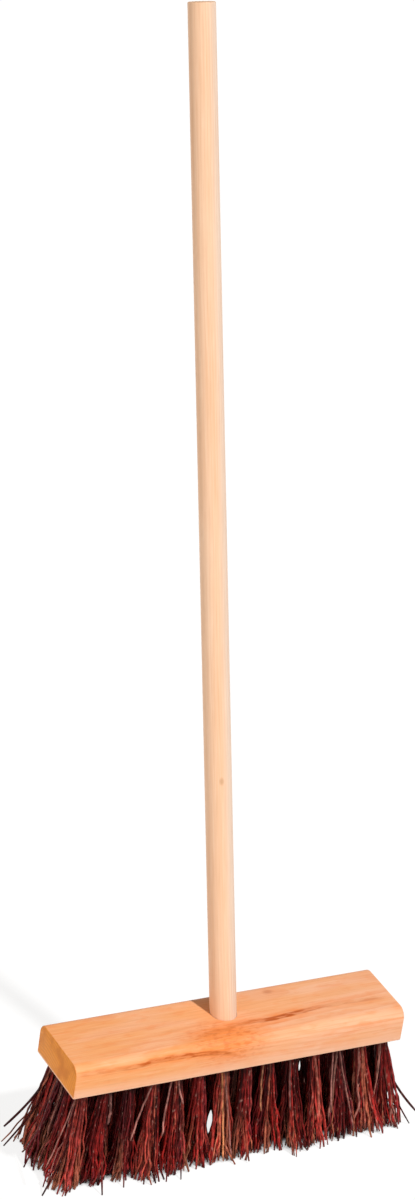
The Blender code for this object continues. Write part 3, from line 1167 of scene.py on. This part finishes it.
def plan_locks(rng, mix, dry_tips):
    """Where each lock sits in its tuft, how it leans, lifts and sways, its tone and how dry its tips are."""
    count = LOCKS_PER_TUFT
    return {
        "spot": sunflower(count, rng.uniform(0, math.tau)),
        "lean": rng.normal(0, LOCK_LEAN, (count, 2)),
        "lift": rng.uniform(0, LOCK_LIFT, count),
        "sway": level(rng.normal(0, LOCK_SWAY, (count, 2))),
        "turns": rng.uniform(*LOCK_TURNS, count),
        "start": rng.uniform(0, math.tau, count),
        "tone": draw_tones(rng, count, mix),
        "dryness": rng.uniform(*DRYNESS, count) * (rng.random(count) < dry_tips),
    }


print("locks:", LOCKS_PER_TUFT, "in a tuft, share with dry tips:", DRY_TIPS)

# %% [markdown]
# ### Where the tips land
# Tips spread over a foot that is a little squarer than a circle, because each tuft meets its neighbours on
# four sides. Each tip is pulled towards the middle of its lock, and a few wild ones land further out. Use
# has pushed some feet a few millimetres out of line, and at the right end they all stand further in.

# %% Helper that lands the tips
FOOT_SPREAD = np.array((12.5 * MM, 8.5 * MM))
FOOT_SQUARENESS = 0.8
LOCK_PULL = 0.30
TIP_SCATTER = 2.1 * MM
WILD_SHARE = 0.05
WILD_REACH = (1.1, 1.4)
PUSHED = {
    "tuft_front_01": (2.5, 0),
    "tuft_front_02": (0, 3),
    "tuft_front_03": (2, 4),
    "tuft_front_04": (-3, -5),
    "tuft_front_05": (0, -2),
    "tuft_front_06": (0, 3),
    "tuft_front_07": (0, 3),
    "tuft_front_08": (0, 3),
    "tuft_front_09": (0, 5),
    "tuft_front_10": (1, -4),
    "tuft_front_14": (-6, 4),
    "tuft_front_mid_01": (2.5, 0),
    "tuft_front_mid_14": (-6, 0),
    "tuft_back_mid_01": (-2.5, 0),
    "tuft_back_mid_14": (-6, 0),
    "tuft_back_01": (3.5, 0),
    "tuft_back_14": (-6, 0),
}


def pushed(name):
    """How far use has moved a tuft's foot, along the head and backwards."""
    return np.array((*PUSHED.get(name, (0, 0)), 0)) * MM


def land_tips(spots, lock_of, locks, rng):
    """Where each tip meets the floor, measured from the middle of the tuft's foot."""
    goal = spots * (1 - LOCK_PULL) + locks["spot"][lock_of] * LOCK_PULL
    roundness = np.linalg.norm(goal, axis=1, keepdims=True) / np.abs(goal).max(1, keepdims=True)
    landing = goal * roundness ** FOOT_SQUARENESS * FOOT_SPREAD
    landing += locks["lean"][lock_of] + rng.normal(0, TIP_SCATTER, landing.shape)
    wild = rng.random(len(spots)) < WILD_SHARE
    landing[wild] *= rng.uniform(*WILD_REACH, (wild.sum(), 1))
    return landing


print("foot:", in_mm(2 * FOOT_SPREAD), "mm across, pushed feet:", len(PUSHED))

# %% [markdown]
# ### One tuft
# Now each fibre gets its own root, tip, bow, sway and thickness, and a tone that lies between its lock's
# and one of its own. Every tuft draws from its own seeded generator, so the broom is the same each time
# that it is made.

# %% Plan a tuft's fibres
FIBRES_PER_TUFT = 56
ROOT_SPREAD = 4.5 * MM
ROOT_DEPTH = 4 * MM
FIBRE_RADIUS = (0.68 * MM, 1.20 * MM)
OWN_SWAY = 1.5 * MM
OWN_TURNS = (0.9, 2.1)
KINK_SIZE = 0.80 * MM
OUTWARD_BOW = 0.5 * MM
BOW_SCATTER = 1.1 * MM
LIFT_SCATTER = 1.0 * MM
LIFT_DROP = 1.2 * MM
LOWEST_TIP, HIGHEST_TIP = 0.2 * MM, 11 * MM
LOCK_TONE_SHARE = 0.55
TONE_SCATTER = (0.75, 1.35)
SEED = 7000


def plan_tuft(name, rng):
    """Everything that tells the fibres of a tuft apart."""
    root, foot = (np.array(place) for place in PLACES[name])
    mix = tone_mix(name)
    count = FIBRES_PER_TUFT
    locks = plan_locks(rng, mix, dry_share(name))
    spots = sunflower(count, rng.uniform(0, math.tau))
    lock_of = np.argmin(np.linalg.norm(spots[:, None] - locks["spot"][None], axis=2), axis=1)

    roots = level(root[:2] + spots * ROOT_SPREAD) + (0, 0, UNDERSIDE + ROOT_DEPTH)
    spread = level(land_tips(spots, lock_of, locks, rng))
    lift = locks["lift"][lock_of] + rng.exponential(LIFT_SCATTER, count) - LIFT_DROP
    spread[:, 2] = np.clip(lift, LOWEST_TIP, HIGHEST_TIP)
    foot = foot + pushed(name)
    tone = locks["tone"][lock_of] * LOCK_TONE_SHARE + draw_tones(rng, count, mix) * (1 - LOCK_TONE_SHARE)
    return {
        "root": roots,
        "foot": np.tile(foot, (count, 1)),
        "spread": spread,
        "bow": level(spots * OUTWARD_BOW + rng.normal(0, BOW_SCATTER, (count, 2))),
        "own_sway": level(rng.normal(0, OWN_SWAY, (count, 2))),
        "own_turns": rng.uniform(*OWN_TURNS, count),
        "own_start": rng.uniform(0, math.tau, count),
        "kinks": rng.normal(0, KINK_SIZE, (count, FIBRE_STEPS + 1, 3)) * (1, 1, 0),
        "lock_sway": locks["sway"][lock_of],
        "lock_turns": locks["turns"][lock_of],
        "lock_start": locks["start"][lock_of],
        "twist": rng.uniform(0, math.pi / 2, count),
        "radius": rng.uniform(*FIBRE_RADIUS, count),
        "tone": tone * rng.uniform(*TONE_SCATTER, (count, 1)),
        "dryness": locks["dryness"][lock_of],
    }


print("fibres:", FIBRES_PER_TUFT * len(TUFT_NAMES), "in all")

# %% [markdown]
# ### Stray fibres
# A few stiff fibres have sprung out of every used broom. Left to chance they would come up in the wrong
# places, so the ones that catch the eye are listed one by one: each by its tuft, its tip, how far it bows,
# its radius and its tone. Those at the ends hang straight at first and then spring outwards.

# %% List the strays
STRAYS = [
    ("tuft_back_01", (-188.6, 32, 24.2), (3, 0, 0), 1.25, "black"),
    ("tuft_back_01", (-187.5, 30, 4.5), (7, 0, 0), 0.95, "black"),
    ("tuft_front_14", (193, -38, 11.6), (-4, 0, 0), 1.10, "black"),
    ("tuft_front_14", (186, -41, 1.5), (-4, 0, 0), 0.70, "black"),
    ("tuft_front_01", (-182, -41, 0.4), (4, 0, 0), 0.95, "black"),
    ("tuft_front_02", (-131, -55.5, 0.4), (1, 3, 0), 0.85, "maroon"),
    ("tuft_front_03", (-108, -51, 0.4), (0, 2, 0), 0.80, "maroon"),
    ("tuft_front_04", (-89, -52, 0.4), (1, 2, 0), 0.85, "maroon"),
    ("tuft_front_05", (-68, -54.5, 0.4), (0, 3, 0), 0.80, "maroon"),
    ("tuft_front_10", (72, -47, 0.4), (0, 2, 0), 0.90, "maroon"),
]
STIFF = {"own_sway": 0.0, "lock_sway": 0.0, "kinks": 0.0, "dryness": 0.0}


def add_one(fibres, **own):
    """Append a stiff copy of a tuft's first fibre, with some things of its own."""
    extra = {key: value[:1].copy() for key, value in fibres.items()}
    for key, value in {**STIFF, **own}.items():
        extra[key][0] = value
    return {key: np.concatenate([fibres[key], extra[key]]) for key in fibres}


def add_strays(name, fibres):
    """Append the listed strays of a tuft to its planned fibres."""
    root = np.array(PLACES[name][0]) + (0, 0, ROOT_DEPTH)
    for tuft, tip, bow, radius, tone in STRAYS:
        if tuft == name:
            own = {
                "root": root,
                "spread": np.array(tip) * MM - fibres["foot"][0],
                "bow": np.array(bow) * MM,
                "radius": radius * MM,
                "tone": TONES[tone],
            }
            fibres = add_one(fibres, **own)
    return fibres


print("strays:", len(STRAYS))

# %% [markdown]
# ### Pale strands
# Some stalks hardly took the dye. They stand out, and one that crosses the others tells the eye that these
# are single stiff stalks. So a few lie on the front of their tufts, and each runs from the front of its
# hole straight to its tip, which for some is broken off high up. The list gives each strand's tuft, the
# place where it leaves the hole, its tip, its radius and its tone. Its weak kinks are borrowed from one of
# the tuft's own fibres.

# %% List the pale strands
STALK_KINKS = 0.35
PALE_STALK = (0.23, 0.090, 0.076)
DUSKY_STALK = (0.13, 0.052, 0.045)
GOLDEN_STALK = (0.43, 0.165, 0.070)
AMBER_STALK = (0.25, 0.096, 0.050)
ROSY_STALK = (0.33, 0.084, 0.060)
STRANDS = [
    ("tuft_front_01", (-4.3, -1.5), (-181.9, -41, 30), 0.70, PALE_STALK),
    ("tuft_front_02", (0.2, -4.6), (-126.9, -41, 65), 1.20, DUSKY_STALK),
    ("tuft_front_04", (-0.7, -4.4), (-104.4, -44, 45), 0.90, PALE_STALK),
    ("tuft_front_05", (-3.9, -2.2), (-72.4, -43, 42), 0.90, PALE_STALK),
    ("tuft_front_05", (-0.9, -4.4), (-53, -38, 69), 0.95, PALE_STALK),
    ("tuft_front_05", (-2.8, -3.6), (-47.9, -41, 1.4), 1.00, GOLDEN_STALK),
    ("tuft_front_07", (-3.2, -3.4), (-5.9, -43, 1.4), 1.05, GOLDEN_STALK),
    ("tuft_front_07", (-1.5, -4.2), (2.2, -43.5, 1.2), 0.95, PALE_STALK),
    ("tuft_front_09", (-4.2, -1.8), (27.7, -38.5, 46), 0.90, AMBER_STALK),
    ("tuft_front_10", (-3.2, -3.4), (55.4, -42, 44), 0.90, DUSKY_STALK),
    ("tuft_front_11", (-3.0, -3.5), (87.8, -42, 26), 1.20, ROSY_STALK),
    ("tuft_front_12", (-4.2, -2.5), (99.6, -42, 32), 0.95, PALE_STALK),
    ("tuft_front_12", (-0.5, -4.5), (126.6, -42, 9), 1.00, PALE_STALK),
    ("tuft_front_13", (-3.4, -3.2), (139, -42, 7), 1.00, ROSY_STALK),
]


def add_strands(name, fibres):
    """Append the pale strands of a tuft to its fibres."""
    for number, (tuft, shift, tip, radius, tone) in enumerate(STRANDS):
        if tuft == name:
            own = {
                "root": np.array(PLACES[name][0]) + (shift[0] * MM, shift[1] * MM, ROOT_DEPTH),
                "foot": np.array(tip) * MM,
                "spread": 0.0,
                "kinks": fibres["kinks"][number] * STALK_KINKS,
                "radius": radius * MM,
                "tone": tone,
            }
            fibres = add_one(fibres, **own)
    return fibres


print("pale strands:", len(STRANDS))

# %% [markdown]
# ### The fibres' finish
# The finish reads the tone that is stored on the fibres, and mottles it along their length, partly as a
# varied tone and partly as painted glints. It adds small pale flecks, which are painted highlights. The
# sheen is low: with more of it, the white studio would show on every fibre and wash the reds out.

# %% Mix the fibres' finish
GLINT_PINK = colour(0.50, 0.27, 0.22)
FIBRE_MOTTLE = dict(stretch=(300, 300, 150), start=0.3, end=0.7, low=0.55, high=1.60)
FIBRE_FLECKS = dict(stretch=(420, 420, 200), start=0.60, end=0.76, high=0.50)
FIBRE_ROUGHNESS = 0.42
FIBRE_GLOSS = 0.10


def mix_fibre():
    material, tree, shader, place = new_finish("red_brown_fibre")
    tone = add_node(tree, "ShaderNodeAttribute", attribute_name="fibre_tone").outputs["Color"]
    # Mottle along the fibres: partly varied tone, partly painted glints.
    mottled = vector_calc(tree, "MULTIPLY", tone, patches(tree, place, **FIBRE_MOTTLE))[0]
    flecks = patches(tree, place, **FIBRE_FLECKS)
    # Pale flecks over the mottled tone are painted highlights.
    tree.links.new(blend(tree, flecks, mottled, GLINT_PINK), shader.inputs["Base Color"])
    shader.inputs["Roughness"].default_value = FIBRE_ROUGHNESS
    shader.inputs["Specular IOR Level"].default_value = FIBRE_GLOSS
    return material


fibre_finish = mix_fibre()
print("fibre finish:", len(fibre_finish.node_tree.nodes), "nodes")

# %% [markdown]
# ### Tones along a fibre
# Under the head the fibres are painted darker, as painted shade from the head and the tufts around them,
# and towards the floor they are painted brighter, as painted light from the floor. Some locks have dry,
# rusty ends, and the very tips are dark where they were cut. A picture wrapped round each fibre could say
# this, but a tone that is stored on every point does it without.

# %% Helper that shades the fibres
SHADE_SHARES = (0.0, 0.9, 1.0)
# Painted shade under the head, painted light towards the floor, and darker cut tips.
PAINTED_SHADE_LIGHT_TIPS = (0.40, 1.62, 0.85)
DRY_FROM = 0.5
DRY_COLOUR = np.array((0.36, 0.130, 0.070))


def shade_fibres(fibres):
    """The colour of every point of every fibre, with an alpha of one."""
    share = FIBRE_SHARE[None, :, None]
    # The stored tone carries the painted shade and the painted light along each fibre.
    tone = fibres["tone"][:, None] * np.interp(share, SHADE_SHARES, PAINTED_SHADE_LIGHT_TIPS)
    dry = fibres["dryness"][:, None, None] * np.clip((share - DRY_FROM) / (1 - DRY_FROM), 0, 1)
    tone = tone * (1 - dry) + DRY_COLOUR * dry
    return np.concatenate([tone, np.ones(tone.shape[:2] + (1,))], 2)


print("tones are scaled by", PAINTED_SHADE_LIGHT_TIPS, "at the shares", SHADE_SHARES, "of a fibre's length")

# %% [markdown]
# ### Growing the tufts
# Each tuft becomes one mesh that holds all its bent copies, and stands for the tuft's solid. Separate
# objects for thousands of fibres would be slow to draw, and one mesh for all of them would hide which fibre
# belongs to which hole.

# %% Grow the tufts
def grow_tuft(name, fibres):
    """One mesh that holds all fibres of a tuft, with their tones stored on its points."""
    points = bend_copies(fibres)
    count, per_fibre = points.shape[:2]
    faces = [[corner + i * per_fibre for corner in face] for i in range(count) for face in FIBRE_FACES]
    mesh = bpy.data.meshes.new(name.replace("tuft", "bristles"))
    mesh.from_pydata(points.reshape(-1, 3), [], faces)
    mesh.polygons.foreach_set("use_smooth", np.ones(len(faces), bool))
    stored = mesh.color_attributes.new("fibre_tone", "FLOAT_COLOR", "POINT")
    stored.data.foreach_set("color", shade_fibres(fibres).astype(np.float32).ravel())
    tuft = bpy.data.objects.new(mesh.name, mesh)
    bpy.context.scene.collection.objects.link(tuft)
    return tuft


face_count = 0
for number, name in enumerate(TUFT_NAMES):
    plan = plan_tuft(name, np.random.default_rng(SEED + number))
    tuft = grow_tuft(name, add_strands(name, add_strays(name, plan)))
    join_frame(tuft, name, fibre_finish)
    face_count += len(tuft.data.polygons)
print("tufts:", len(TUFT_NAMES), "faces:", face_count)
